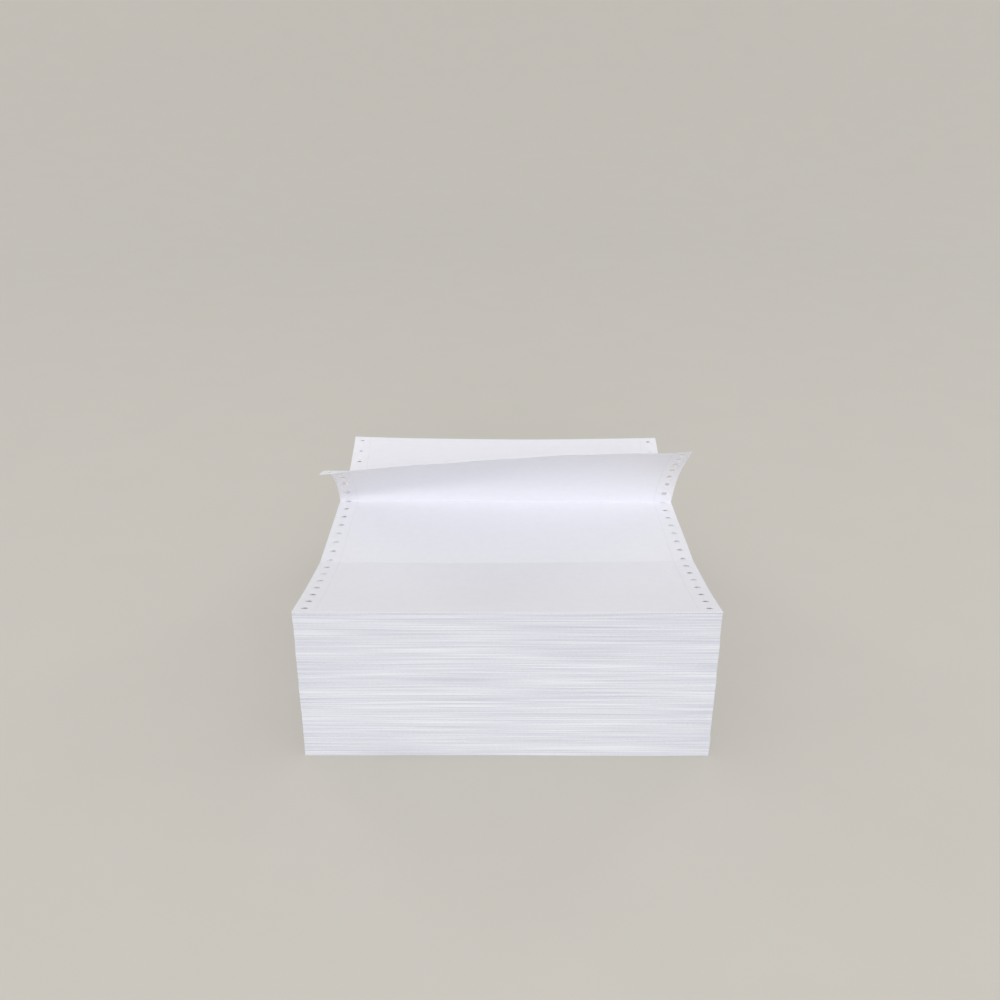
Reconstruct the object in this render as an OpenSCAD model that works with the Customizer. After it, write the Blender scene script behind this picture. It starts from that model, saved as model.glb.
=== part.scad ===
/* [Form] */
// Width of the web across both feed strips
form_w = 241.3; // [150:0.1:420]
// Length of one leaf between its folds
leaf_l = 279.4; // [200:0.1:360]
// Parts that the cross perforations split a leaf into
leaf_parts = 3; // [2:1:4]
// Thickness of the paper
paper_t = 0.1; // [0.06:0.01:0.4]

/* [Feed strips] */
// Diameter of a feed hole
hole_d = 4; // [2:0.1:6]
// Distance between feed hole centres
hole_pitch = 12.7; // [9:0.1:20]
// Distance of the hole centres from the edge of the web
hole_edge = 6.35; // [4:0.05:10]

/* [Stack] */
// Leaves in the stack
leaf_count = 800; // [200:50:1200]
// Height that one leaf takes up, with the air below it
leaf_pitch = 0.1025; // [0.08:0.0005:0.14]
// Leaves that lie behind one drawn fold
fold_leaves = 8; // [6:2:40]
// How far a fold stands out from the groove beside it
fold_depth = 0.9; // [0.3:0.1:3]
// Slope of the top leaf where its front part begins, in degrees
front_angle = 9; // [0:0.5:14]
// Slope of the top leaf at the front fold, in degrees
front_fold_angle = 12; // [0:0.5:25]
// Slope of the second leaf just behind the crease, in degrees
back_angle = 2.7; // [0:0.1:14]
// Slope of the second leaf at the back fold, in degrees
back_fold_angle = 18.5; // [0:0.5:25]

/* [Raised part] */
// Angle at which the raised part leaves the crease, from the level behind it, in degrees
lift_angle = 114; // [95:1:150]
// Angle of its left corner, from the same level, in degrees
left_end_angle = 170; // [115:1:178]
// Angle of its right corner, from the same level, in degrees
right_end_angle = 146.5; // [115:0.5:178]
// How much of the left side's bend comes early, near the crease
left_early_ratio = 0.67; // [0.1:0.01:4]
// How much of the right side's bend comes early, near the crease
right_early_ratio = 1.92; // [0.1:0.01:4]
// How fast the left side's shape gives way to the right side's
blend_exponent = 2; // [1:0.25:4]

/* [Hidden] */

stack_h = leaf_count * leaf_pitch;
part_l = leaf_l / leaf_parts;
mid_l = leaf_l - 2 * part_l;
front_break_y = -leaf_l / 2 + part_l;
crease_y = leaf_l / 2 - part_l;
holes_a_side = floor(leaf_l / hole_pitch);
first_hole = (leaf_l - (holes_a_side - 1) * hole_pitch) / 2;
folds = round(leaf_count / fold_leaves);
paper_colour = [0.93, 0.94, 0.97];

// The slopes change between these shares of an end part's length
slope_start_ratio = 0.36;
slope_end_ratio = 0.76;
// Steps along an end part, along the raised part and across it
end_steps = 10;
arc_steps = 18;
cross_steps = 14;
// Depth to which the raised part's root reaches into the leaf that it grows from
root = 0.6;
// How far a cutter runs past what it cuts
past = 1;

// Smooth step from 0 to 1 as x runs from a to b
function smooth(x, a, b) = let (u = min(1, max(0, (x - a) / (b - a)))) u * u * (3 - 2 * u);

// Running sum of a list's first n values
function sum(list, n) = n <= 0 ? 0 : list[n - 1] + sum(list, n - 1);

// Points [run, rise] of a line of the given length whose slope follows a list of angles
function walk(angles, length) =
    let (step = length / len(angles))
    let (runs = [for (a = angles) step * cos(a)])
    let (rises = [for (a = angles) step * sin(a)])
    [for (i = [0 : len(angles)]) [sum(runs, i), sum(rises, i)]];

// An end part of the top surface, from its inner end to its fold
function end_line(angle, fold_angle) = walk(
    [for (i = [0.5 : end_steps])
        angle + (fold_angle - angle) * smooth(i / end_steps, slope_start_ratio, slope_end_ratio)],
    part_l);

front_line = end_line(front_angle, front_fold_angle);
back_line = end_line(back_angle, back_fold_angle);

// Outline of the folds at one end, bottom to top. The leaves lie flat at the bottom of the stack and swell towards
// their folds at its top, so the upper folds draw in by the length that the slope takes up. The shift is the share
// of a fold by which one end lies above the other, because a web turns at its two ends in turn.
function fold_outline(line, shift) =
    let (top = stack_h + line[end_steps][1])
    let (drawn_in = part_l - line[end_steps][0])
    let (pitch = top / folds)
    let (grooves = shift == 0
        ? [for (k = [0 : folds]) k * pitch]
        : [0, for (k = [0 : folds - 1]) (k + shift) * pitch, top])
    [for (k = [0 : len(grooves) - 2])
        let (z0 = grooves[k])
        let (z1 = grooves[k + 1])
        let (out = leaf_l / 2 - drawn_in * pow((z0 + z1) / 2 / top, 2))
        let (depth = fold_depth * (z1 - z0) / pitch)
        for (a = [-90, -40, 0, 40])
            [out - depth * (1 - cos(a)), (z0 + z1) / 2 + (z1 - z0) / 2 * sin(a)]];

// Section of the stack along its length, without the raised part
module stack_section() {
    front = fold_outline(front_line, 0);
    back = fold_outline(back_line, 0.5);
    polygon(concat(
        [for (p = back) p],
        [for (i = [end_steps : -1 : 0]) [crease_y + back_line[i][0], stack_h + back_line[i][1]]],
        [for (i = [0 : end_steps]) [front_break_y - front_line[i][0], stack_h + front_line[i][1]]],
        [for (i = [len(front) - 1 : -1 : 0]) [-front[i][0], front[i][1]]]
    ));
}

// Centres of the feed holes along the stack
function hole_y(k) = -leaf_l / 2 + first_hole + k * hole_pitch;

module feed_bores() {
    top = stack_h + max(front_line[end_steps][1], back_line[end_steps][1]);
    for (side = [-1, 1], k = [0 : holes_a_side - 1])
        translate([side * (form_w / 2 - hole_edge), hole_y(k), -past])
            cylinder(d = hole_d, h = top + 2 * past, $fn = 32);
}

// The folded stack with its feed holes running down through all leaves
module folded_web() {
    difference() {
        rotate([90, 0, 90])
            linear_extrude(height = form_w, center = true)
                stack_section();
        feed_bores();
    }
}

// Angle of one side of the raised part at a share u of its length
function side_angle(u, end_angle, early) =
    lift_angle + (end_angle - lift_angle) * (1 - exp(-early * u)) / (1 - exp(-early));

function side_line(end_angle, early) = walk(
    [for (i = [0.5 : arc_steps]) side_angle(i / arc_steps, end_angle, early)],
    part_l);

left_line = side_line(left_end_angle, left_early_ratio);
right_line = side_line(right_end_angle, right_early_ratio);

// Place [y, z] on the raised part at a share s across it and after i steps of its length
function leaf_yz(s, i) =
    let (left = pow(1 - s, blend_exponent))
    let (low = floor(i))
    let (high = ceil(i))
    let (a = left * left_line[low] + (1 - left) * right_line[low])
    let (b = left * left_line[high] + (1 - left) * right_line[high])
    [crease_y, stack_h] + a + (b - a) * (i - low);

// Angle of the raised part at the same place
function leaf_angle(s, i) =
    let (a = leaf_yz(s, max(0, i - 0.5)))
    let (b = leaf_yz(s, min(arc_steps, i + 0.5)))
    atan2(b[1] - a[1], b[0] - a[0]);

// The same place as a point, lifted off the printed face by t
function leaf_point(s, i, t) =
    let (p = leaf_yz(s, i))
    let (a = leaf_angle(s, i))
    [form_w * (s - 0.5), p[0] + t * sin(a), p[1] - t * cos(a)];

// A row of points across the raised part. Row 0 is its root, a little below the crease.
function leaf_row(row, t) = [for (j = [0 : cross_steps])
    let (p = leaf_point(j / cross_steps, max(0, row - 1), t))
    row > 0 ? p : p - root * [0, cos(lift_angle), sin(lift_angle)]];

// The raised part without its holes: two curved faces a paper's thickness apart, closed at their edges
module raised_sheet() {
    rows = arc_steps + 2;
    cols = cross_steps + 1;
    other = rows * cols;
    points = [for (t = [0, paper_t], r = [0 : rows - 1]) each leaf_row(r, t)];
    faces = [
        for (r = [0 : rows - 2], c = [0 : cols - 2])
            let (p = r * cols + c)
            each [
                [p, p + 1, p + cols],
                [p + 1, p + cols + 1, p + cols],
                [other + p, other + p + cols, other + p + 1],
                [other + p + 1, other + p + cols, other + p + cols + 1]
            ],
        for (r = [0 : rows - 2])
            let (p = r * cols)
            let (q = p + cols - 1)
            each [
                [p, p + cols, other + p],
                [p + cols, other + p + cols, other + p],
                [q, other + q, q + cols],
                [q + cols, other + q, other + q + cols]
            ],
        for (c = [0 : cols - 2])
            let (q = (rows - 1) * cols + c)
            each [
                [c, other + c, c + 1],
                [c + 1, other + c, other + c + 1],
                [q, q + 1, other + q],
                [q + 1, other + q + 1, other + q]
            ]
    ];
    polyhedron(points, faces, convexity = 4);
}

// Feed holes of the raised part, square to the paper, counted from its free edge
module raised_holes() {
    for (x = [hole_edge, form_w - hole_edge], k = [0 : floor((part_l - first_hole) / hole_pitch)]) {
        s = x / form_w;
        i = (part_l - first_hole - k * hole_pitch) / part_l * arc_steps;
        translate(leaf_point(s, i, 0))
            rotate([leaf_angle(s, i) + 180, 0, 0])
                cylinder(d = hole_d, h = 2 * past, center = true, $fn = 32);
    }
}

module raised_part() {
    difference() {
        raised_sheet();
        raised_holes();
    }
}

module form_stack() {
    color(paper_colour) {
        folded_web();
        raised_part();
    }
}

form_stack();
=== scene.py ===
"""A fan-folded stack of blank continuous form paper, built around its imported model.

The web is one strip of bond paper. Its top leaf and the leaf below it are modelled as the strip itself, with
every feed hole cut through, and the leaves below them as one folded body with a ridge for every drawn fold.
Lengths are in metres. Angles are written in degrees and turned to radians where they are set or used.
"""

import math

import bpy
import numpy as np
from bpy.props import FloatProperty, FloatVectorProperty, IntProperty, PointerProperty
from bpy.types import Operator, Panel, PropertyGroup
from mathutils import Euler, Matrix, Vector


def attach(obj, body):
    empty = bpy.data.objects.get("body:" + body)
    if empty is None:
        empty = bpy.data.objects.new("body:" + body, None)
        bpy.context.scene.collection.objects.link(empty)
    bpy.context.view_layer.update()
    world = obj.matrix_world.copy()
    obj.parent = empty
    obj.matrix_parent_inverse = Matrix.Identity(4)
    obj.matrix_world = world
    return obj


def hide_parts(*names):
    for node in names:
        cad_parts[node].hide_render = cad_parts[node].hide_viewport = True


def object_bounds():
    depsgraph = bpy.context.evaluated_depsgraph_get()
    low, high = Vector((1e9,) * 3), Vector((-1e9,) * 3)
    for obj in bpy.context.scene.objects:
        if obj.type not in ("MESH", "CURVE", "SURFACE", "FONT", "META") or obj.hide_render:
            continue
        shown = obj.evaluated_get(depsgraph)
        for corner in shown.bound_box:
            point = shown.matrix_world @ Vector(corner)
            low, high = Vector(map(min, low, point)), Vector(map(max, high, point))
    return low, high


bl_info = {
    "name": "Continuous Form Stack",
    "version": (1, 0, 0),
    "blender": (4, 5, 0),
    "location": "View3D > Sidebar > Form Stack",
    "description": "Builds a fan-folded stack of form paper with its top leaf partly raised",
    "category": "Add Mesh",
}

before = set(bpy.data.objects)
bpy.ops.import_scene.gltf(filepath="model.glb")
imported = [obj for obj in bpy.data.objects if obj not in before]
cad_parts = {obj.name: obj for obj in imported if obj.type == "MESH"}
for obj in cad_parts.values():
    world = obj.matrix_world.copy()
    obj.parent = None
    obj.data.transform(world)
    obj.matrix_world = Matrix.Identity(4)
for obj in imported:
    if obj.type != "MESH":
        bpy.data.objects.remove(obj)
CAD_LOW, CAD_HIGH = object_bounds()
NODE = "form_stack"
BODY = "root"
MM = 0.001


def linear_from_hex(code):
    """A colour written as sRGB hex, as the linear values that Blender's sockets take."""
    channels = [int(code[i : i + 2], 16) / 255 for i in (0, 2, 4)]
    return tuple(c / 12.92 if c <= 0.04045 else ((c + 0.055) / 1.055) ** 2.4 for c in channels)


class FormSizes(PropertyGroup):
    """Sizes of the form and its feed strips."""

    width: FloatProperty(
        name="Width", description="Width of the web across both feed strips",
        default=CAD_HIGH.x - CAD_LOW.x, unit="LENGTH",
    )
    leaf_length: FloatProperty(
        name="Leaf length", description="Length of one leaf between its folds",
        default=CAD_HIGH.y - CAD_LOW.y, unit="LENGTH",
    )
    paper: FloatProperty(
        name="Paper", description="Thickness of the paper", default=0.1 * MM, unit="LENGTH",
    )
    hole: FloatProperty(
        name="Feed hole", description="Diameter of a feed hole", default=4 * MM, unit="LENGTH",
    )
    hole_pitch: FloatProperty(
        name="Hole pitch", description="Distance between feed hole centres",
        default=12.7 * MM, unit="LENGTH",
    )
    strip: FloatProperty(
        name="Feed strip", description="Width of a feed strip, out to its perforation",
        default=12.7 * MM, unit="LENGTH",
    )


class StackSizes(PropertyGroup):
    """Sizes and slopes of the folded stack."""

    height: FloatProperty(
        name="Height", description="Height of the stack at its level middle",
        default=82 * MM, unit="LENGTH",
    )
    front_slope: FloatProperty(
        name="Front slope", description="Slope where the top leaf's front part begins",
        default=math.radians(9), subtype="ANGLE",
    )
    front_fold_slope: FloatProperty(
        name="Front fold slope", description="Slope at the front fold",
        default=math.radians(12), subtype="ANGLE",
    )
    back_slope: FloatProperty(
        name="Back slope", description="Slope just behind the crease",
        default=math.radians(2.7), subtype="ANGLE",
    )
    back_fold_slope: FloatProperty(
        name="Back fold slope", description="Slope at the back fold",
        default=math.radians(18.5), subtype="ANGLE",
    )
    drawn_folds: IntProperty(
        name="Drawn folds", description="Folds drawn at each end of the stack", default=200, min=10,
    )
    fold_depth: FloatProperty(
        name="Fold depth", description="How far a fold stands out from the groove beside it",
        default=0.8 * MM, unit="LENGTH",
    )
    leaf_gap: FloatProperty(
        name="Leaf gap", description="Distance between the middles of the two upper leaves",
        default=0.2 * MM, unit="LENGTH",
    )


class RaisedSizes(PropertyGroup):
    """Form of the top leaf's raised part."""

    lift_angle: FloatProperty(
        name="Lift", description="Angle at which the paper leaves the crease",
        default=math.radians(114), subtype="ANGLE",
    )
    left_end_angle: FloatProperty(
        name="Left end", description="Angle of the curled left corner",
        default=math.radians(168.6), subtype="ANGLE",
    )
    inner_lift_angle: FloatProperty(
        name="Inner lift", description="Angle at the crease just inside the curled corner",
        default=math.radians(111.9), subtype="ANGLE",
    )
    inner_end_angle: FloatProperty(
        name="Inner end", description="Angle of the free edge just inside the corner",
        default=math.radians(162), subtype="ANGLE",
    )
    inner_early: FloatProperty(
        name="Inner early", description="How much of the bend there comes near the crease", default=1.93,
    )
    right_end_angle: FloatProperty(
        name="Right end", description="Angle of the right corner",
        default=math.radians(144.3), subtype="ANGLE",
    )
    left_early: FloatProperty(
        name="Left early", description="How much of the left bend comes near the crease", default=0.67,
    )
    right_early: FloatProperty(
        name="Right early", description="How much of the right bend comes near the crease",
        default=2.42,
    )
    blend_power: FloatProperty(
        name="Blend", description="How fast the left side's form gives way to the right's", default=1.77,
    )
    strip_bend: FloatProperty(
        name="Strip bend", description="Angle by which a feed strip bends at its perforation",
        default=math.radians(5), subtype="ANGLE",
    )


class FinishColours(PropertyGroup):
    """Colours of the paper and the stage."""

    paper: FloatVectorProperty(
        name="Paper", description="Bluish white of the bond paper", subtype="COLOR",
        default=linear_from_hex("ECECF1"), min=0, max=1,
    )
    paper_cloud: FloatVectorProperty(
        name="Cloudiness", description="Denser patches of its pulp", subtype="COLOR",
        default=linear_from_hex("E7E7ED"), min=0, max=1,
    )
    # Painted shade: the inside of a perforation's cuts is drawn in this darker colour.
    cut: FloatVectorProperty(
        name="Cut", description="Inside of a perforation's cuts", subtype="COLOR",
        default=linear_from_hex("D0D2DB"), min=0, max=1,
    )
    edge_light: FloatVectorProperty(
        name="Edge light", description="Leaf edges that stand out", subtype="COLOR",
        default=linear_from_hex("E4E5EB"), min=0, max=1,
    )
    # Painted shade: leaf edges that lie back are drawn in this darker colour.
    edge_painted_shade: FloatVectorProperty(
        name="Edge dark", description="Leaf edges that lie back", subtype="COLOR",
        default=linear_from_hex("B9BBC5"), min=0, max=1,
    )
    # Painted light: the walls of the feed holes are drawn brighter than the paper, for light that soaks
    # through the leaves.
    hole_wall_painted_light: FloatVectorProperty(
        name="Hole walls", description="Walls of the feed holes", subtype="COLOR",
        default=linear_from_hex("F8F8FC"), min=0, max=1,
    )
    # Painted shade: thin darker streaks in the hole walls, where the gaps between the leaves lie.
    hole_streak_painted_shade: FloatVectorProperty(
        name="Hole streaks", description="Thin streaks in the walls of the feed holes", subtype="COLOR",
        default=linear_from_hex("E3E4EB"), min=0, max=1,
    )
    floor: FloatVectorProperty(
        name="Floor", description="Pale warm grey of the floor", subtype="COLOR",
        default=linear_from_hex("D0CCC4"), min=0, max=1,
    )


# Steps that the curves are worked out in
CURVE_STEPS = 160
# The slopes change between these shares of an end part's length
SLOPE_FROM = 0.36
SLOPE_TO = 0.76
# A leaf is cross-perforated into this many parts
LEAF_PARTS = 3
# Distance from the left edge within which the raised part's corner curls
CORNER_REACH = 24 * MM


def smooth_step(x, low, high):
    """Smooth step from 0 to 1 as x runs from low to high."""
    u = np.clip((np.asarray(x, float) - low) / (high - low), 0, 1)
    return u * u * (3 - 2 * u)


def walk(angles, length):
    """Run and rise of a line of this length whose slope follows the angles, in radians."""
    step = length / len(angles)
    run = np.concatenate([[0], np.cumsum(step * np.cos(angles))])
    rise = np.concatenate([[0], np.cumsum(step * np.sin(angles))])
    return run, rise


class WebShape:
    """Where the web runs: over the top of the stack, round its folds and up the raised part."""

    # Reach of a fold's nose, and of the rounding at the crease
    nose = 0.35 * MM
    crease_round = 0.15 * MM
    # Gentle waves in the leaves that lie: their height, and the share of it that the narrow ones have.
    # Here and below a wave's length is given over two pi.
    wave_height = 0.16 * MM
    narrow_share = 0.45
    broad_waves = (31 * MM, 47 * MM)
    narrow_waves = (17 * MM, 60 * MM)
    wave_starts = (0.6, 0.3, 1.9)
    # How high the stack has settled at its left, middle and right: at the front fold, the front
    # perforation, the crease and the back fold
    settled = (
        (0, -0.3 * MM, 0),
        (-0.7 * MM, -1.5 * MM, 0.6 * MM),
        (0.4 * MM, -0.4 * MM, -1.1 * MM),
        (0, -2.4 * MM, -1 * MM),
    )
    # How far the second leaf lies to the right of the first and behind it, where less than 0 is before it.
    # Their holes don't quite meet. The slip grows over these distances from its front and back folds.
    leaf_slip = (0.08 * MM, -0.3 * MM)
    slip_growth = (25 * MM, 12 * MM)
    # How far the first leaf lies loose over the second, the lengths of its waves across and along, where
    # it comes loose behind the front fold, and how far before the crease it starts to lie close again
    loose_lift = 0.07 * MM
    loose_waves = (26 * MM, 33 * MM)
    loose_behind_fold = (2 * MM, 30 * MM)
    loose_before_crease = 20 * MM
    # Share of the strip bend on the right, which bends back, and on the left, which bends forwards, and
    # the distances from the crease between which it grows
    strip_sides = (0.7, -0.5)
    strip_growth = (3 * MM, 40 * MM)
    # Ripples of the free edge: height, length, start, and distance from the crease where they begin
    ripples = ((0.25 * MM, 23 * MM, 1.1, 25 * MM), (0.15 * MM, 7.5 * MM, 0, 60 * MM))
    # Half the distances over which the raised part's slope and the paper's normals are taken
    slope_step = 0.2 * MM
    normal_step = 0.03 * MM

    def __init__(self, form, stack, raised):
        self.width = form.width
        self.leaf = form.leaf_length
        self.paper = form.paper
        self.strip = form.strip
        self.hole_radius = form.hole / 2
        self.pitch = form.hole_pitch
        self.height = stack.height
        self.gap = stack.leaf_gap
        self.part = self.leaf / LEAF_PARTS
        self.crease_y = self.leaf / 2 - self.part
        self.power = raised.blend_power
        self.strip_bend = math.tan(raised.strip_bend)
        self.along = np.linspace(0, self.part, CURVE_STEPS + 1)
        self.front = self.end_line(stack.front_slope, stack.front_fold_slope)
        self.back = self.end_line(stack.back_slope, stack.back_fold_slope)
        self.corner = self.side_line(raised.lift_angle, raised.left_end_angle, raised.left_early)
        self.inner = self.side_line(raised.inner_lift_angle, raised.inner_end_angle, raised.inner_early)
        self.right = self.side_line(raised.lift_angle, raised.right_end_angle, raised.right_early)

    def end_line(self, slope, fold_slope):
        share = (np.arange(CURVE_STEPS) + 0.5) / CURVE_STEPS
        change = smooth_step(share, SLOPE_FROM, SLOPE_TO)
        return walk(slope + (fold_slope - slope) * change, self.part)

    def side_line(self, lift, end, early):
        share = (np.arange(CURVE_STEPS) + 0.5) / CURVE_STEPS
        change = (1 - np.exp(-early * share)) / (1 - math.exp(-early))
        return walk(lift + (end - lift) * change, self.part)

    def top_line(self, s):
        """Place y, z on the top of the stack at a distance s from its front fold."""
        s = np.asarray(s, float)
        ahead = np.clip(self.part - s, 0, self.part)
        behind = np.clip(s - 2 * self.part, 0, self.part)
        y = np.clip(s, self.part, 2 * self.part) - self.leaf / 2
        y = y - np.interp(ahead, self.along, self.front[0]) + np.interp(behind, self.along, self.back[0])
        z = np.interp(ahead, self.along, self.front[1]) + np.interp(behind, self.along, self.back[1])
        return y, self.height + z

    def waves(self, x, s):
        """Height of the upper leaves over their even form: how the stack has settled, and gentle waves."""
        w = x / self.width + 0.5
        lines = [
            left * (1 - w) * (1 - 2 * w) + middle * 4 * w * (1 - w) + right * w * (2 * w - 1)
            for left, middle, right in self.settled
        ]
        height = lines[0]
        for k, (line, next_line) in enumerate(zip(lines[:-1], lines[1:])):
            height = height + (next_line - line) * smooth_step(s, k * self.part, (k + 1) * self.part)
        across, along, slanting = self.wave_starts
        broad = np.sin(x / self.broad_waves[0] + across) * np.sin(s / self.broad_waves[1] + along)
        narrow = np.sin(x / self.narrow_waves[0] - s / self.narrow_waves[1] + slanting)
        return height + self.wave_height * (broad + self.narrow_share * narrow)

    def side_place(self, share, t):
        """Place y, z on the raised part at a share across it and a distance t from the crease."""
        left = np.clip(1 - share, 0, 1) ** self.power
        curl = 1 - smooth_step(share * self.width, 0, CORNER_REACH)
        corner, inner, right = (
            np.array([np.interp(t, self.along, c) for c in line])
            for line in (self.corner, self.inner, self.right)
        )
        y, z = curl * corner + (1 - curl) * (left * inner + (1 - left) * right)
        return self.crease_y + y, self.height + z

    def raised_place(self, u, t):
        """The raised part, its feed strips bent at their perforations and its free edge a little wavy."""
        share = u / self.width
        y, z = self.side_place(share, t)
        y0, z0 = self.side_place(share, np.clip(t - self.slope_step, 0, self.part))
        y1, z1 = self.side_place(share, np.clip(t + self.slope_step, 0, self.part))
        size = np.hypot(y1 - y0, z1 - z0)
        out_y, out_z = (z1 - z0) / size, -(y1 - y0) / size
        past = np.maximum(self.strip - np.minimum(u, self.width - u), 0)
        each_side = np.where(u > self.width / 2, *self.strip_sides)
        bend = past * self.strip_bend * each_side * smooth_step(t, *self.strip_growth)
        ripple = sum(
            height * np.sin(u / length + start) * smooth_step(t, begin, self.part)
            for height, length, start, begin in self.ripples
        )
        away = bend + ripple
        return y + away * out_y, z + away * out_z

    def first_leaf(self, u, s):
        """Leaf one: it lies from the front fold to the crease and rises behind it."""
        level = self.height_offset(s, 1)
        turn = 2 * self.part
        x = u - self.width / 2
        y, z = self.top_line(np.minimum(s, turn))
        lift = self.loose_lift * (1 + np.sin(x / self.loose_waves[0] + s / self.loose_waves[1]))
        lift = lift * smooth_step(s, *self.loose_behind_fold)
        lift = lift * (1 - smooth_step(s, turn - self.loose_before_crease, turn))
        z = z - level + self.waves(x, np.minimum(s, turn)) + lift
        y_up, z_up = self.raised_place(u, np.clip(s - turn, 0, self.part))
        z_up = z_up - level + self.waves(x, turn)
        rising = s > turn
        return np.where(rising, y_up, y), np.where(rising, z_up, z)

    def height_offset(self, s, leaf):
        """How far the middle of a leaf lies below the top of the stack, with its folds' noses."""
        own = self.paper / 2 + (leaf - 1) * self.gap
        at_front = self.nose_share(s)
        at_back = self.nose_share(self.leaf - s)
        if leaf == 1:
            return own + self.gap / 2 * (1 - at_front)
        if leaf == 2:
            return own - self.gap / 2 * (1 - at_front) + self.gap / 2 * (1 - at_back)
        return own - self.gap / 2 * (1 - at_back)

    def nose_share(self, distance):
        """Share of its full distance that a leaf has from the one that it is folded to."""
        u = 1 - np.clip(distance / self.nose, 0, 1)
        return np.sqrt(1 - u * u)

    def lower_leaf(self, u, s, leaf):
        """Leaf two, and the start of leaf three under the back fold."""
        slip = smooth_step(s, 0, self.slip_growth[0]) * smooth_step(self.leaf - s, 0, self.slip_growth[1])
        x = u - self.width / 2 + self.leaf_slip[0] * slip
        y, z = self.top_line(s + self.leaf_slip[1] * slip)
        return x, y, z - self.height_offset(s, leaf) + self.waves(x, s)

    def place(self, u, v):
        """Points on the middle of the paper. u runs across the web and v along it: 0 at the back fold,
        one leaf's length at the front fold and two at the free edge."""
        u, v = np.asarray(u, float), np.asarray(v, float)
        s_first = v - self.leaf
        x1 = u - self.width / 2
        y1, z1 = self.first_leaf(u, np.maximum(s_first, 0))
        turn = 2 * self.part
        near = np.abs(s_first - turn) < self.crease_round
        ahead_y, ahead_z = self.first_leaf(u, np.full_like(u, turn - self.crease_round))
        fold_y, fold_z = self.first_leaf(u, np.full_like(u, turn))
        after_y, after_z = self.first_leaf(u, np.full_like(u, turn + self.crease_round))
        w = np.clip((s_first - turn) / self.crease_round / 2 + 0.5, 0, 1)
        round_y = (1 - w) ** 2 * ahead_y + 2 * w * (1 - w) * fold_y + w**2 * after_y
        round_z = (1 - w) ** 2 * ahead_z + 2 * w * (1 - w) * fold_z + w**2 * after_z
        y1, z1 = np.where(near, round_y, y1), np.where(near, round_z, z1)
        x2, y2, z2 = self.lower_leaf(u, np.clip(self.leaf - v, 0, self.leaf), 2)
        x3, y3, z3 = self.lower_leaf(u, self.leaf - np.clip(-v, 0, self.leaf), 3)
        on_first, on_third = v >= self.leaf, v < 0
        x = np.where(on_first, x1, np.where(on_third, x3, x2))
        y = np.where(on_first, y1, np.where(on_third, y3, y2))
        z = np.where(on_first, z1, np.where(on_third, z3, z2))
        return np.stack([x, y, z], axis=-1)

    def normals(self, u, v):
        """Unit normals of the same surface, out of the face that lies upwards on leaf one."""
        step = self.normal_step
        u, v = np.asarray(u, float), np.asarray(v, float)
        v = np.clip(v, 2 * step - TUCK, 2 * self.leaf - 2 * step)
        across = self.place(u + step, v) - self.place(u - step, v)
        lengthwise = self.place(u, v + step) - self.place(u, v - step)
        n = np.cross(across, lengthwise)
        return n / np.linalg.norm(n, axis=1)[:, None]

    def hole_count(self):
        return int(self.leaf / self.pitch + 0.5)

    def hole_places(self):
        """Distances of the feed holes from the fold at which their leaf begins."""
        count = self.hole_count()
        first = (self.leaf - (count - 1) * self.pitch) / 2
        return first + self.pitch * np.arange(count)

    def cell_edges(self):
        """Distances at which the cells round the holes meet. Two of them are the cross perforations."""
        edges = self.pitch * np.arange(self.hole_count() + 1) * self.leaf / (self.pitch * self.hole_count())
        for cross in (self.part, 2 * self.part):
            edges[np.argmin(np.abs(edges - cross))] = cross
        return edges


class FlatMesh:
    """A mesh in the web's own u, v, in which points that fall together are one."""

    # Points are one when their places agree in these steps to a metre
    steps_to_metre = 1e7

    def __init__(self):
        self.index = {}
        self.points = []
        self.faces = []

    def point(self, u, v):
        key = (round(u * self.steps_to_metre), round(v * self.steps_to_metre))
        if key not in self.index:
            self.index[key] = len(self.points)
            self.points.append((u, v))
        return self.index[key]

    def grid(self, us, vs):
        for u0, u1 in zip(us[:-1], us[1:]):
            for v0, v1 in zip(vs[:-1], vs[1:]):
                corners = ((u0, v0), (u1, v0), (u1, v1), (u0, v1))
                self.faces.append([self.point(u, v) for u, v in corners])

    def band(self, outer, inner, centre):
        """Faces between two loops of points round a centre, both from the same corner on."""
        if len(outer) == len(inner):
            pairs = list(zip(outer, inner))
            for (a, b), (c, d) in zip(pairs, pairs[1:] + pairs[:1]):
                self.faces.append([a, c, d, b])
            return
        out_turns, in_turns = self.turns(outer, centre), self.turns(inner, centre)
        i = j = 0
        while i < len(outer) or j < len(inner):
            a, b = outer[i % len(outer)], inner[j % len(inner)]
            if j == len(inner) or (i < len(outer) and out_turns[i + 1] <= in_turns[j + 1]):
                i += 1
                self.faces.append([a, outer[i % len(outer)], b])
            else:
                j += 1
                self.faces.append([a, inner[j % len(inner)], b])

    def turns(self, loop, centre):
        """Angles of a loop's points round the centre: they rise from the first point to a full turn."""
        away = np.array([self.points[i] for i in loop]) - centre
        angles = np.arctan2(away[:, 1], away[:, 0])
        rising = np.mod(angles - angles[0] + 1e-6, 2 * math.pi)
        return np.append(rising, 2 * math.pi)

    def ring_cell(self, us, vs, centre, radius, shares, edge=None):
        """A cell with a round hole: bands of faces run from its edge to the hole. Gives the hole's loop.

        The edge is the cell's own border unless another loop of places is given for it."""
        border = border_loop(us, vs, us, vs)
        centre = np.array(centre)
        outer = [self.point(u, v) for u, v in edge or border]
        for share in shares:
            inner = []
            for place in border:
                away = np.array(place) - centre
                rim = centre + away * radius / np.linalg.norm(away)
                inner.append(self.point(*(np.array(place) * (1 - share) + rim * share)))
            self.band(outer, inner, centre)
            outer = inner
        return outer


def border_loop(low_us, high_vs, high_us, low_vs):
    """Places round a cell, from the lines that cross its low, right, high and left sides."""
    loop = [(u, low_vs[0]) for u in low_us[:-1]] + [(low_us[-1], v) for v in high_vs[:-1]]
    return loop + [(u, low_vs[-1]) for u in high_us[:0:-1]] + [(low_us[0], v) for v in low_vs[:0:-1]]


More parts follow.
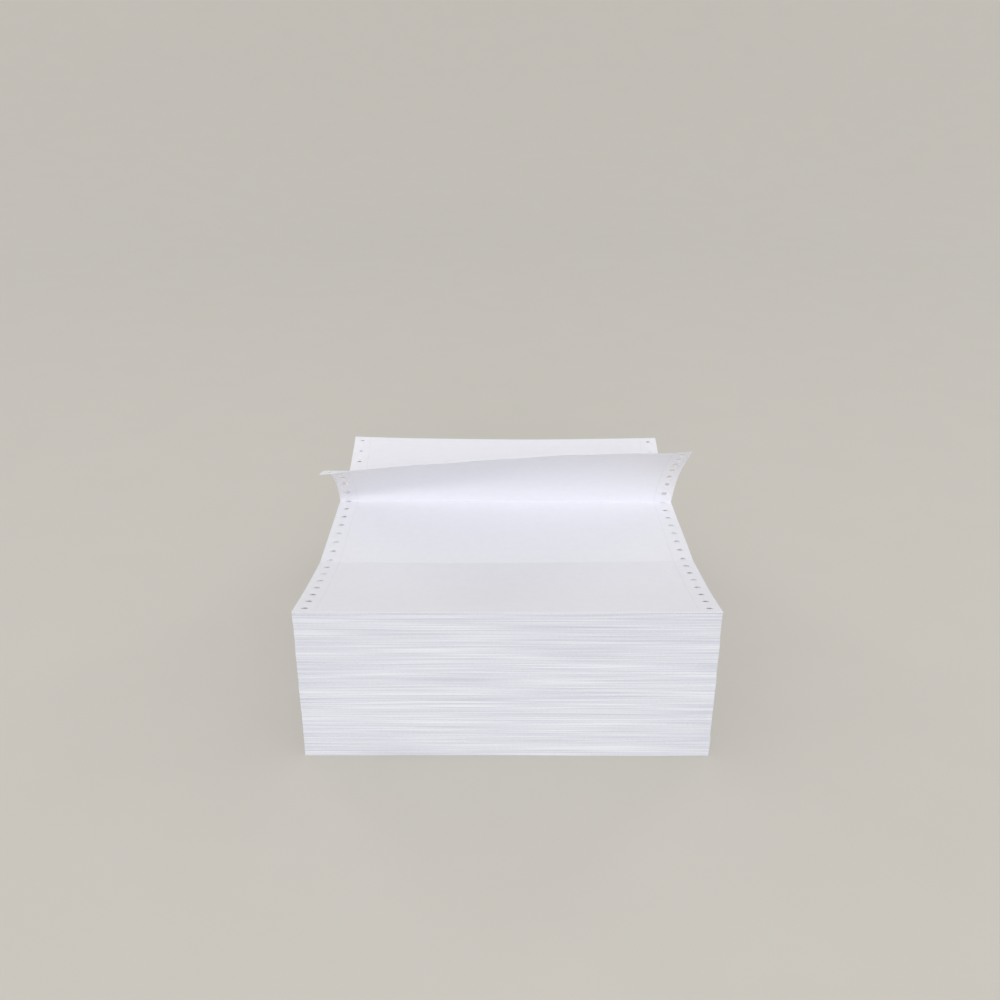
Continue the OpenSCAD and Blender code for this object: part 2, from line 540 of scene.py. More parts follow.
def border_edges(faces):
    """Edges that only one face has, in that face's direction."""
    seen = {}
    for face in faces:
        for a, b in zip(face, face[1:] + face[:1]):
            seen[(a, b)] = True
    return [(a, b) for a, b in seen if (b, a) not in seen]


# Steps across a feed strip and across the form between the strips
STRIP_STEPS = 6
FORM_STEPS = 108
# Steps along a cell, and the finer ones beside a fold or a crease
CELL_STEPS = 6
FINE_STEPS = (0.03 * MM, 0.08 * MM, 0.17 * MM, 0.35 * MM)
# Least distance of those steps from a feed hole
HOLE_CLEARANCE = 0.03 * MM
RING_SHARES = (0.4, 0.75, 1)
# Length of leaf three that is drawn under the back fold
TUCK = 4 * MM


def cell_lines(low, high, fine_low, fine_high):
    """Places of the lines along one cell."""
    lines = set(np.round(np.linspace(low, high, CELL_STEPS + 1), 9))
    lines |= {round(low + step, 9) for step in FINE_STEPS if fine_low}
    lines |= {round(high - step, 9) for step in FINE_STEPS if fine_high}
    return sorted(lines)


def web_mesh(shape):
    """The upper leaves in u, v: leaf two and leaf one in one strip, with their feed holes."""
    flat = FlatMesh()
    left_strip = list(np.linspace(0, shape.strip, STRIP_STEPS + 1))
    form = list(np.linspace(shape.strip, shape.width - shape.strip, FORM_STEPS + 1))
    right_strip = [shape.width - u for u in reversed(left_strip)]
    edges = shape.cell_edges()
    holes = shape.hole_places()
    crease = 2 * shape.part
    for side in (-1, 1):
        for low, high, hole in zip(edges[:-1], edges[1:], holes):
            fine_low = low == 0 or (side == 1 and low == crease)
            fine_high = (side == -1 and high == edges[-1]) or (side == 1 and high == crease)
            lines = cell_lines(low, high, fine_low, fine_high)
            vs = [shape.leaf + side * s for s in lines]
            # Fine rows that miss the hole run straight across the strip. The ring cell takes up the rest.
            room = shape.hole_radius + HOLE_CLEARANCE
            start = len([s for s in lines[1 : len(FINE_STEPS) + 1] if s < hole - room]) * fine_low
            stop = len(lines) - 1
            stop -= len([s for s in lines[-1 - len(FINE_STEPS) : -1] if s > hole + room]) * fine_high
            if side < 0:
                vs.reverse()
                start, stop = len(vs) - 1 - stop, len(vs) - 1 - start
            flat.grid(form, vs)
            for us in (left_strip, right_strip):
                flat.grid(us, vs[: start + 1])
                flat.grid(us, vs[stop:])
                centre = ((us[0] + us[-1]) / 2, shape.leaf + side * hole)
                flat.ring_cell(us, vs[start : stop + 1], centre, shape.hole_radius, RING_SHARES)
    tuck = sorted({-TUCK, -TUCK / 2, 0.0} | {-step for step in FINE_STEPS})
    flat.grid(left_strip + form[1:] + right_strip[1:], tuck)
    return flat


# Height of the nibs on the free edge, the lengths of the two waves that they follow, how far the edge
# lies back with them, and how near to the end of the web a point counts as on it
NIB_HEIGHT = 0.09 * MM
NIB_WAVES = (0.62 * MM, 0.37 * MM)
NIB_BACK = 0.2 * MM
EDGE_NEAR = 0.01 * MM


def leave_ragged(shape, u, v):
    """The free edge after it was burst at its perforation: each tie leaves a small nib."""
    free = v > 2 * shape.leaf - EDGE_NEAR
    nibs = NIB_HEIGHT * (np.sin(u / NIB_WAVES[0]) + np.sin(u / NIB_WAVES[1] + 1))
    return np.where(free, v + nibs - NIB_BACK, v)


def make_object(name, points, faces, face_slots, materials, uvs):
    """A smooth mesh object whose edges are sharp where two of its materials meet."""
    mesh = bpy.data.meshes.new(name)
    mesh.from_pydata(np.asarray(points).tolist(), [], faces)
    mesh.polygons.foreach_set("material_index", face_slots)
    mesh.polygons.foreach_set("use_smooth", [True] * len(faces))
    layer = mesh.uv_layers.new(name="paper_metres")
    layer.data.foreach_set("uv", np.asarray(uvs, float).ravel())
    for material in materials:
        mesh.materials.append(material)
    if mesh.validate(verbose=False):
        raise RuntimeError(f"{name}: the mesh had faults")
    slots_at = {}
    for polygon in mesh.polygons:
        for key in polygon.edge_keys:
            slots_at.setdefault(key, set()).add(polygon.material_index)
    sharp = [len(slots_at[tuple(sorted(edge.vertices))]) > 1 for edge in mesh.edges]
    mesh.attributes.new("sharp_edge", "BOOLEAN", "EDGE").data.foreach_set("value", sharp)
    piece = bpy.data.objects.new(name, mesh)
    bpy.context.scene.collection.objects.link(piece)
    return piece


# Slots of the two pieces' materials
SHEET_SLOT, CUT_SLOT = range(2)
LEVEL_SLOT, FOLD_SLOT, SIDE_SLOT, HOLE_SLOT = range(4)


def declare_piece(piece):
    """Every piece of the stack stands for its one solid: it is attached to the body and the solid is hidden.
    """
    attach(piece, BODY)
    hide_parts(NODE)


def upper_leaves(shape, materials):
    """The strip of paper that is the second leaf, the front fold and the first leaf with its raised part."""
    flat = web_mesh(shape)
    u, v = np.array(flat.points).T
    v = leave_ragged(shape, u, v)
    middle, normal = shape.place(u, v), shape.normals(u, v)
    points = np.concatenate([middle + normal * shape.paper / 2, middle - normal * shape.paper / 2])
    count = len(u)
    faces = list(flat.faces)
    faces += [[i + count for i in reversed(face)] for face in flat.faces]
    slots = [SHEET_SLOT] * len(faces)
    for a, b in border_edges(flat.faces):
        faces.append([b, a, a + count, b + count])
        slots.append(CUT_SLOT)
    place = np.concatenate([np.stack([u, v], axis=-1)] * 2)
    uvs = [place[i] for face in faces for i in face]
    return make_object("upper_leaves", points, faces, slots, materials, uvs)


# Rows drawn for each fold: its groove and the two sides of its nose
FOLD_ROWS = 3
# Stretches of a side between two hole centres, and steps along the top between them
SIDE_STEPS = 2
TOP_STEPS = 6
TOP_SHARES = (0.35, 1)
# Rows of a feed hole near the top of the stack and below them
HOLE_TOP_DEPTH = 5 * MM
HOLE_TOP_ROWS = 11
HOLE_LOW_ROWS = 2


class FoldedBody:
    """The leaves under the upper two: a closed body with a ridge for every fold and every leaf's edge."""

    # How far the top of this body lies below the top of the stack
    sink = 0.36 * MM
    # Least and most by which its uppermost holes lie behind those of the leaves above them. The leaves have
    # slipped, so a hole shows the next leaf's white face and a dark arc at its far rim.
    hole_slip = (2.7 * MM, 3.4 * MM)
    # How far each leaf's hole lies aside by chance, and how much wider every other one is drawn
    hole_scatter = 0.06 * MM
    hole_widening = 0.02
    # The settled form of the top fades downwards with this power of the height's share
    settling_power = 12
    # Sway of the leaves between the bottom and the top: height, length, turn with height, and start
    sways = ((0.5 * MM, 38 * MM, 5, 0), (0.35 * MM, 21 * MM, -9, 2))
    sway_weight = 1.6
    # How unevenly the folds stand out: each by itself, slowly over some folds, askew and bowed
    fold_scatter = 0.13 * MM
    fold_drift = 0.16 * MM
    drifting_folds = 9
    fold_skew = 0.1 * MM
    fold_bow = 0.07 * MM
    bow_turns = 4
    # Least and most of the fold depth that a fold has, and the shares of it at a fold's rows
    fold_depths = (0.6, 1.25)
    row_shares = (1.0, 0.06, 0.0)
    # The same for the leaf edges at the sides, with the groove between two drawn leaves
    side_scatter = 0.08 * MM
    side_drift = 0.16 * MM
    drifting_leaves = 12
    side_groove = 0.14 * MM
    # How far the middling fold and leaf edge lie inside the furthest reach
    fold_inside = 0.3 * MM
    side_inside = 0.25 * MM
    # Start of the chance that all this follows
    seed = 11

    def __init__(self, shape, stack):
        self.shape = shape
        self.columns = int(shape.width / shape.pitch + 0.5)
        self.cells = shape.hole_count()
        self.rows = stack.drawn_folds * FOLD_ROWS
        self.depth = stack.fold_depth
        self.random = np.random.default_rng(self.seed)
        self.across = np.linspace(0, shape.width, self.columns + 1)
        self.along = np.linspace(0, shape.leaf, self.cells * SIDE_STEPS + 1)
        self.around = border_loop(self.across, self.along, self.across, self.along)
        self.points = []
        self.faces = []
        self.slots = []
        self.uvs = []

    def place(self, x, s, t):
        """A point at x, a distance s from the front folds, at a share t of the height."""
        flat_y = s - self.shape.leaf / 2
        top_y, top_z = self.shape.top_line(s)
        y = (1 - t**2) * flat_y + t**2 * top_y
        z = t * (top_z - self.sink) + t**self.settling_power * self.shape.waves(x, s)
        sway = sum(
            height * np.sin(x / length + turn * t + start) for height, length, turn, start in self.sways
        )
        z = z + sway * t * (1 - t) * self.sway_weight
        return np.stack(np.broadcast_arrays(x, y, z), axis=-1)

    def slow_noise(self, count, spacing, size):
        """Random offsets that change slowly from one drawn leaf to the next."""
        knots = self.random.normal(0, size, count // spacing + 3)
        return np.interp(np.arange(count) / spacing, np.arange(len(knots)), knots)

    def fold_offsets(self, shift):
        """How far each row of one end lies inside its furthest reach, for each share across the web."""
        rows = np.arange(self.rows + 1)
        across = np.linspace(-1, 1, self.columns + 1)
        folds = self.rows // FOLD_ROWS + 2
        own = self.random.normal(0, self.fold_scatter, folds)
        own = own + self.slow_noise(folds, self.drifting_folds, self.fold_drift)
        skew = self.random.normal(0, self.fold_skew, folds)
        bow = self.random.normal(0, self.fold_bow, folds)
        depth = self.depth * self.random.uniform(*self.fold_depths, folds)
        fold = (rows + shift) // FOLD_ROWS
        kind = (rows + shift) % FOLD_ROWS
        inside = np.array(self.row_shares)[kind] * depth[fold]
        line = own[fold][:, None] + skew[fold][:, None] * across
        line = line + bow[fold][:, None] * np.cos(self.bow_turns * across)
        return np.clip(line + self.fold_inside, 0, None) + inside[:, None]

    def side_offsets(self):
        """How far each row of one side lies inside the stack's side."""
        rows = np.arange(self.rows + 1)
        leaves = self.rows // FOLD_ROWS + 1
        own = self.random.normal(0, self.side_scatter, leaves)
        own = own + self.slow_noise(leaves, self.drifting_leaves, self.side_drift)
        groove = np.where(rows % FOLD_ROWS == 0, self.side_groove, 0.0)
        return np.clip(own[rows // FOLD_ROWS] + self.side_inside, 0, None) + groove

    def add_ring(self):
        """The folds and leaf edges on all four sides."""
        size, width, leaf = len(self.around), self.shape.width, self.shape.leaf
        front, back = self.fold_offsets(0), self.fold_offsets(FOLD_ROWS // 2)
        left, right = self.side_offsets(), self.side_offsets()
        t = np.arange(self.rows + 1) / self.rows
        ring = np.zeros((self.rows + 1, size, 3))
        for k, (u, s) in enumerate(self.around):
            aside = (left if u == 0 else 0) - (right if u == width else 0)
            ring[:, k] = self.place(np.full(self.rows + 1, u - width / 2) + aside, s, t)
            column = int(np.argmin(np.abs(self.across - u)))
            ring[:, k, 1] += front[:, column] if s == 0 else 0
            ring[:, k, 1] -= back[:, column] if s == leaf else 0
        self.points = list(ring.reshape(-1, 3))
        heights = t * self.shape.height
        for k, (u, s) in enumerate(self.around):
            k2 = (k + 1) % size
            u2, s2 = self.around[k2]
            at_end = s == s2
            start, stop = (u - width / 2, u2 - width / 2) if at_end else (s, s2)
            for r in range(self.rows):
                low, high = r * size, (r + 1) * size
                self.faces.append([low + k, low + k2, high + k2, high + k])
                self.slots.append(FOLD_SLOT if at_end else SIDE_SLOT)
                below, above = heights[r], heights[r + 1]
                self.uvs += [(start, below), (stop, below), (stop, above), (start, above)]

    def level_mesh(self, slips):
        """The body's top or bottom in u, s, and its feed holes' loops, each moved back by its slip."""
        flat, rims = FlatMesh(), []
        fine_along = np.linspace(0, self.shape.leaf, self.cells * TOP_STEPS + 1)
        flat.grid(self.across[1:-1], fine_along)
        ends = ((self.across[0], self.across[1]), (self.across[-2], self.across[-1]))
        for (low_u, high_u), side_slips in zip(ends, slips):
            us = np.linspace(low_u, high_u, TOP_STEPS + 1)
            for j in range(self.cells):
                vs = fine_along[j * TOP_STEPS : (j + 1) * TOP_STEPS + 1]
                side = self.along[j * SIDE_STEPS : (j + 1) * SIDE_STEPS + 1]
                low_us = us[:: TOP_STEPS] if j == 0 else us
                high_us = us[:: TOP_STEPS] if j == self.cells - 1 else us
                left, right = (side, vs) if low_u == 0 else (vs, side)
                edge = border_loop(low_us, right, high_us, left)
                centre = ((low_u + high_u) / 2, (vs[0] + vs[-1]) / 2 + side_slips[j])
                rims.append(flat.ring_cell(us, vs, centre, self.shape.hole_radius, TOP_SHARES, edge))
        return flat, rims

    def add_level(self, flat, t, upwards):
        """The top or bottom of the body. Gives the index here of each of the flat mesh's points."""
        start = self.rows * len(self.around) if t > 0 else 0
        known = {flat.point(u, s): start + k for k, (u, s) in enumerate(self.around)}
        index = []
        for i, (u, s) in enumerate(flat.points):
            if i in known:
                index.append(known[i])
                continue
            index.append(len(self.points))
            self.points.append(self.place(u - self.shape.width / 2, s, t))
        for face in flat.faces:
            face = face if upwards else face[::-1]
            self.faces.append([index[i] for i in face])
            self.slots.append(LEVEL_SLOT)
            self.uvs += [(flat.points[i][0], self.shape.leaf + flat.points[i][1]) for i in face]
        return index

    def add_hole(self, top_rim, bottom_rim, top, bottom):
        """One feed hole through all leaves. Near the top each row is a leaf that lies a little aside, and
        its slip fades out downwards."""
        high = 1 - np.linspace(0, HOLE_TOP_DEPTH, HOLE_TOP_ROWS + 1) / self.shape.height
        low = np.linspace(high[-1], 0, HOLE_LOW_ROWS + 1)[1:]
        rings = [top]
        rows = np.concatenate([high, low])
        for row, t in enumerate(rows[1:-1]):
            aside = self.random.normal(0, self.hole_scatter, 2)
            settled = min((row + 1) / HOLE_TOP_ROWS, 1)
            rim = top_rim * (1 - settled) + bottom_rim * settled
            centre = rim.mean(axis=0)
            wider = 1 + self.hole_widening * (row % 2)
            places = centre + (rim - centre) * wider + aside
            ring = self.place(places[:, 0] - self.shape.width / 2, places[:, 1], t)
            rings.append(list(range(len(self.points), len(self.points) + len(ring))))
            self.points += list(ring)
        rings.append(bottom)
        heights = rows * self.shape.height
        arc = 2 * math.pi * self.shape.hole_radius / len(top)
        for row, (upper, lower) in enumerate(zip(rings[:-1], rings[1:])):
            for k in range(len(top)):
                k2 = (k + 1) % len(top)
                self.faces.append([upper[k], upper[k2], lower[k2], lower[k]])
                self.slots.append(HOLE_SLOT)
                near, far = k * arc, (k + 1) * arc
                above, below = heights[row], heights[row + 1]
                self.uvs += [(near, above), (far, above), (far, below), (near, below)]

    def build(self, materials):
        self.add_ring()
        upper, upper_rims = self.level_mesh(self.random.uniform(*self.hole_slip, (2, self.cells)))
        lower, lower_rims = self.level_mesh(np.zeros((2, self.cells)))
        tops = self.add_level(upper, 1, True)
        bottoms = self.add_level(lower, 0, False)
        upper_places, lower_places = np.array(upper.points), np.array(lower.points)
        for high, low in zip(upper_rims, lower_rims):
            top, bottom = [tops[i] for i in high], [bottoms[i] for i in low]
            self.add_hole(upper_places[high], lower_places[low], top, bottom)
        return make_object("folded_leaves", self.points, self.faces, self.slots, materials, self.uvs)


def add_node(tree, kind, settings=None, inputs=None):
    """A node with its settings. An input is a value, another node's output, or a node with one output."""
    node = tree.nodes.new(kind)
    for name, value in (settings or {}).items():
        setattr(node, name, value)
    for name, value in (inputs or {}).items():
        if isinstance(value, bpy.types.Node):
            value = next(output for output in value.outputs if output.enabled)
        if isinstance(value, bpy.types.NodeSocket):
            tree.links.new(value, node.inputs[name])
        else:
            node.inputs[name].default_value = value
    return node


def new_material(name, roughness, specular):
    """An empty node material and its shader, joined to the output."""
    material = bpy.data.materials.new(name)
    material.use_nodes = True
    tree = material.node_tree
    tree.nodes.clear()
    values = {"Roughness": roughness, "Specular IOR Level": specular}
    shader = add_node(tree, "ShaderNodeBsdfPrincipled", {}, values)
    add_node(tree, "ShaderNodeOutputMaterial", {}, {"Surface": shader})
    return material, tree, shader


# Inputs of a colour mix: its share and the two colours
MIX_SHARE, MIX_FIRST, MIX_SECOND = 0, 6, 7

# A perforation's cut and tie together, the part that is cut, and how wide the cut shows
PERFORATION_PITCH = 1.6 * MM
PERFORATION_CUT = 1.05 * MM
PERFORATION_WIDTH = 0.2 * MM


def perforations(tree, shape):
    """Mask of the fine cuts beside the feed strips and across the form at each third."""
    uv = add_node(tree, "ShaderNodeUVMap", {"uv_map": "paper_metres"})
    place = add_node(tree, "ShaderNodeSeparateXYZ", {}, {"Vector": uv})
    rows = []
    for across, first, spacing, along in (
        ("X", shape.strip, shape.width - 2 * shape.strip, "Y"),
        ("Y", 0, shape.part, "X"),
    ):
        moved = add_node(
            tree, "ShaderNodeMath", {"operation": "SUBTRACT"}, {0: place.outputs[across], 1: first},
        )
        away = add_node(tree, "ShaderNodeMath", {"operation": "PINGPONG"}, {0: moved, 1: spacing / 2})
        line = add_node(
            tree, "ShaderNodeMapRange", {"interpolation_type": "SMOOTHSTEP"},
            {"Value": away, "From Min": PERFORATION_WIDTH, "From Max": 0.35 * PERFORATION_WIDTH},
        )
        wave = add_node(
            tree, "ShaderNodeMath", {"operation": "PINGPONG"},
            {0: place.outputs[along], 1: PERFORATION_PITCH / 2},
        )
        cut = add_node(
            tree, "ShaderNodeMapRange", {"interpolation_type": "SMOOTHSTEP"},
            {"Value": wave, "From Min": PERFORATION_CUT / 2, "From Max": 0.35 * PERFORATION_CUT / 2},
        )
        rows.append(add_node(tree, "ShaderNodeMath", {"operation": "MULTIPLY"}, {0: line, 1: cut}))
    return add_node(tree, "ShaderNodeMath", {"operation": "MAXIMUM"}, {0: rows[0], 1: rows[1]})


# Uncoated bond: patches of its pulp, the felt marks that show as grain, and the slow cockle of a sheet
# that has taken up moisture. The grain is drawn at 0.9 mm, coarser than its 0.2 mm, so that it shows.
PULP_CLOUD = 5 * MM
FELT_GRAIN = 0.9 * MM
SHEET_COCKLE = 22 * MM
# How far light goes between fibres. A single leaf lets some through, which lifts its shaded side.
PAPER_DEPTH = 0.03 * MM


def uncoated_bond_paper(shape, colours):
    """Bluish-white uncoated bond, calendered but not glossy: matt, faintly cloudy, with cut perforations
    darkened by painted shade.
    """
    material, tree, shader = new_material("uncoated_bond_paper", 0.82, 0.35)
    shader.inputs["Subsurface Weight"].default_value = 1.0
    shader.inputs["Subsurface Radius"].default_value = (1, 1, 1)
    shader.inputs["Subsurface Scale"].default_value = PAPER_DEPTH
    place = add_node(tree, "ShaderNodeTexCoord").outputs["Object"]
    cloud, grain, cockle = (
        add_node(tree, "ShaderNodeTexNoise", {}, {"Vector": place, "Scale": 1 / size, "Detail": 2.5})
        for size in (PULP_CLOUD, FELT_GRAIN, SHEET_COCKLE)
    )
    tint = add_node(
        tree, "ShaderNodeMix", {"data_type": "RGBA"},
        {MIX_SHARE: cloud.outputs[0], MIX_FIRST: (*colours.paper, 1), MIX_SECOND: (*colours.paper_cloud, 1)},
    )
    cuts = perforations(tree, shape)
    # The perforations' cuts get painted shade: the cut colour is mixed in where the mask is.
    painted_cut_shade = add_node(
        tree, "ShaderNodeMix", {"data_type": "RGBA"},
        {MIX_SHARE: cuts, MIX_FIRST: tint, MIX_SECOND: (*colours.cut, 1)},
    )
    low = add_node(
        tree, "ShaderNodeBump", {}, {"Strength": 0.5, "Distance": 0.35 * MM, "Height": cockle.outputs[0]},
    )
    mid = add_node(
        tree, "ShaderNodeBump", {},
        {"Strength": 0.35, "Distance": 0.025 * MM, "Height": grain.outputs[0], "Normal": low},
    )
    bump = add_node(
        tree, "ShaderNodeBump", {"invert": True},
        {"Strength": 0.6, "Distance": 0.08 * MM, "Height": cuts, "Normal": mid},
    )
    tree.links.new(painted_cut_shade.outputs[2], shader.inputs["Base Color"])
    tree.links.new(bump.outputs[0], shader.inputs["Normal"])
    return material


def streaked_edges(name, roughness, streaks, base, relief, light, dark):
    """Leaf edges as they lie in a stack, mixed by streaks between a light colour and a dark one of painted
    shade. Each streak has its length, height, detail and weight.
    """
    material, tree, shader = new_material(name, roughness, 0.3)
    uv = add_node(tree, "ShaderNodeUVMap", {"uv_map": "paper_metres"})
    share, first = base, None
    for length, height, detail, weight in streaks:
        place = add_node(
            tree, "ShaderNodeMapping", {},
            {"Vector": uv, "Location": (detail + 2, height / MM, 0), "Scale": (1 / length, 1 / height, 1)},
        )
        noise = add_node(
            tree, "ShaderNodeTexNoise", {"noise_dimensions": "2D"},
            {"Vector": place, "Scale": 1, "Detail": detail, "Roughness": 0.55},
        )
        first = first or noise
        share = add_node(
            tree, "ShaderNodeMath", {"operation": "MULTIPLY_ADD"},
            {0: noise.outputs[0], 1: weight, 2: share},
        )
    tint = add_node(
        tree, "ShaderNodeMix", {"data_type": "RGBA"},
        {MIX_SHARE: share, MIX_FIRST: (*light, 1), MIX_SECOND: (*dark, 1)},
    )
    bump = add_node(
        tree, "ShaderNodeBump", {}, {"Strength": 0.5, "Distance": relief, "Height": first.outputs[0]},
    )
    tree.links.new(tint.outputs[2], shader.inputs["Base Color"])
    tree.links.new(bump.outputs[0], shader.inputs["Normal"])
    return material


def folded_bond_edges(colours):
    """The folds of the web, pressed but not sharp: long soft streaks of painted shade, darker where a fold
    lies back.
    """
    streaks = (
        (90 * MM, 0.45 * MM, 1, 1.3),
        (160 * MM, 4 * MM, 2, 0.35),
        (1.6 * MM, 0.4 * MM, 0, 0.18),
    )
    return streaked_edges(
        "folded_bond_edges", 0.86, streaks, -0.6, 0.1 * MM, colours.edge_light, colours.edge_painted_shade,
    )


def cut_bond_edges(colours):
    """The slit edges of the leaves, lying close: fine straight lines of painted shade between them, with a
    little lint in them.
    """
    streaks = (
        (220 * MM, 0.32 * MM, 1, 0.8),
        (300 * MM, 5 * MM, 2, 0.35),
        (1.2 * MM, 0.5 * MM, 2, 0.25),
    )
    return streaked_edges(
        "cut_bond_edges", 0.9, streaks, -0.35, 0.07 * MM, colours.edge_light, colours.edge_painted_shade,
    )


def punched_bond_edges(colours):
    """The punched edges inside the feed holes: painted light makes them brighter than the paper, for the
    light that soaks through the leaves, with thin streaks of painted shade.
    """
    streaks = ((5 * MM, 0.3 * MM, 1, 1.0),)
    return streaked_edges(
        "punched_bond_edges", 0.85, streaks, -0.35, 0.03 * MM, colours.hole_wall_painted_light, colours.hole_streak_painted_shade,
    )


# Size of the floor's mottle, and how dark its darker patches are
FLOOR_MOTTLE = 60 * MM
FLOOR_SHADE = 0.965


def matt_floor(colours):
    """A painted studio floor, rolled on matt, so that it takes a shadow and shows no glare."""
    material, tree, shader = new_material("matt_painted_floor", 0.95, 0.1)
    place = add_node(tree, "ShaderNodeTexCoord").outputs["Object"]
    mottle = add_node(
        tree, "ShaderNodeTexNoise", {}, {"Vector": place, "Scale": 1 / FLOOR_MOTTLE, "Detail": 3},
    )
    shade = tuple(c * FLOOR_SHADE for c in colours.floor)
    tint = add_node(
        tree, "ShaderNodeMix", {"data_type": "RGBA"},
        {MIX_SHARE: mottle.outputs[0], MIX_FIRST: (*colours.floor, 1), MIX_SECOND: (*shade, 1)},
    )
    tree.links.new(tint.outputs[2], shader.inputs["Base Color"])
    return material


def web_shape():
    scene = bpy.context.scene
    return WebShape(scene.form_sizes, scene.stack_sizes, scene.raised_sizes)


def paper_materials(shape):
    """The sheet's faces, its folds, its cut edges and its hole walls, in the order of the pieces' slots."""
    colours = bpy.context.scene.finish_colours
    makers = {
        "uncoated_bond_paper": lambda: uncoated_bond_paper(shape, colours),
        "folded_bond_edges": lambda: folded_bond_edges(colours),
        "cut_bond_edges": lambda: cut_bond_edges(colours),
        "punched_bond_edges": lambda: punched_bond_edges(colours),
    }
    return [bpy.data.materials.get(name) or make() for name, make in makers.items()]


class FORMSTACK_OT_upper_leaves(Operator):
    """Build the two upper leaves as one strip of paper, with the raised part and every feed hole"""

    bl_idname = "formstack.upper_leaves"
    bl_label = "Upper Leaves"

    def execute(self, context):
        shape = web_shape()
        sheet, _, cut, _ = paper_materials(shape)
        declare_piece(upper_leaves(shape, [sheet, cut]))
        return {"FINISHED"}


class FORMSTACK_OT_folded_leaves(Operator):
    """Build the folded leaves below them as one body with its folds, leaf edges and feed holes"""

    bl_idname = "formstack.folded_leaves"
    bl_label = "Folded Leaves"

    def execute(self, context):
        shape = web_shape()
        body = FoldedBody(shape, context.scene.stack_sizes)
        declare_piece(body.build(paper_materials(shape)))
        return {"FINISHED"}


# The camera, as it stands to the middle of the crease: aside, in front and above
CAMERA_FROM_CREASE = Vector((-3.6 * MM, -674.5 * MM, 310.8 * MM))
CAMERA_PITCH = 24.68
CAMERA_YAW = 0.055
# Focal length in pixels of a picture that is this many pixels wide
FOCAL_PIXELS = 1017.2
PICTURE_PIXELS = 1000
SENSOR_WIDTH = 36.0
# The key light stands in front of the crease: its height and how far it is turned aside, in degrees
KEY_HEIGHT = 35
KEY_ASIDE = 4
KEY_WIDTH = 0.33
# Its light on a surface that faces it at the crease, in watts a square metre
KEY_LIGHT = 1.15
# A wide soft light behind the camera, and two behind the object that show its back and sides
FILL_HEIGHT = 14.5
FILL_WIDTH = 2.9
FILL_LIGHT = 0.68
BACK_HEIGHT = 12
BACK_ASIDE = 140
BACK_WIDTH = 2
BACK_LIGHT = 0.3
# All lamps stand this far from the crease
LAMP_DISTANCE = 6
SKY_STRENGTH = 0.64
FLOOR_RADIUS = 1.6
BACKDROP_RISE = 2.6
BACKDROP_STEPS = 32
ROUND_STEPS = 96


